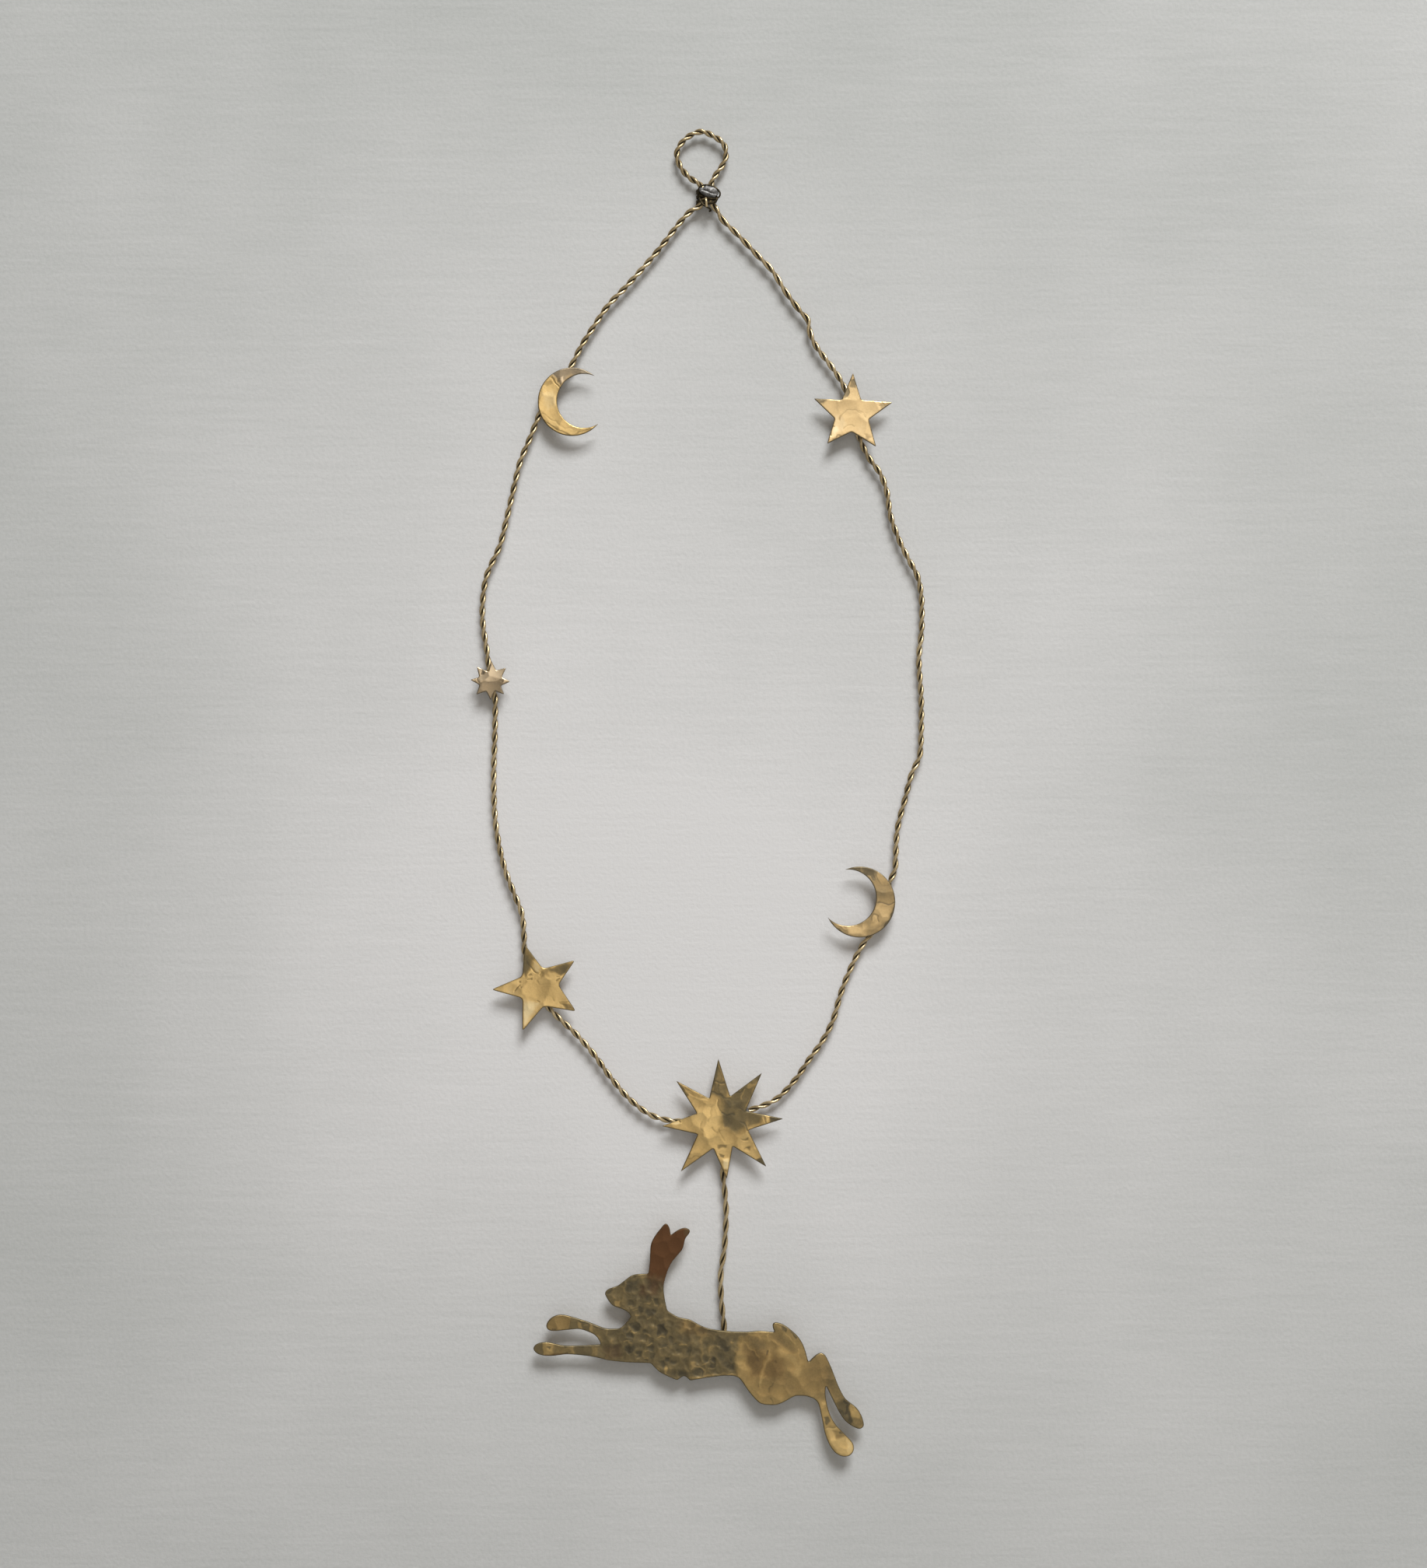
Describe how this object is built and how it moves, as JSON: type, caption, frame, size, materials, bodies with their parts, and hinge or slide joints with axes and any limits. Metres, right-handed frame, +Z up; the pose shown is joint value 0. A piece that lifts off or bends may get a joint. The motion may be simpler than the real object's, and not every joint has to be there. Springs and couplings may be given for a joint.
{
  "type": "hanging ornament",
  "caption": "Hammered brass stars, crescents and a leaping hare soldered to a teardrop of twisted brass wire, hung by a small wire eye.",
  "frame": {"origin": "inner top of the hanging eye, where the nail or hook bears", "axes": "+Z up, +X to the right seen from the front, and -Y out of the front, where the shapes are soldered on"},
  "size_m": [0.1461, 0.0059, 0.4269],
  "materials": {
    "wire_brass": "tarnished satin wire, bright on the crests and brown between the strands",
    "bright_brass": "hammered satin sheet, pale gold with olive-brown tarnish",
    "dark_brass": "hammered sheet, tarnished olive-brown in front, bronze behind and coppery on the ears",
    "tarnish": "fire-blackened binding wire",
    "solder": "dull silver-grey soft solder"
  },
  "bodies": {
    "root": {"twisted_wire_loop": "wire_brass", "drop_wire": "wire_brass", "neck_binding": "tarnish", "neck_solder": "solder", "upper_moon": "bright_brass", "upper_star": "bright_brass", "tiny_star": "bright_brass", "lower_star": "bright_brass", "lower_moon": "bright_brass", "large_star": "bright_brass", "hare": "dark_brass"}
  },
  "joints": []
}
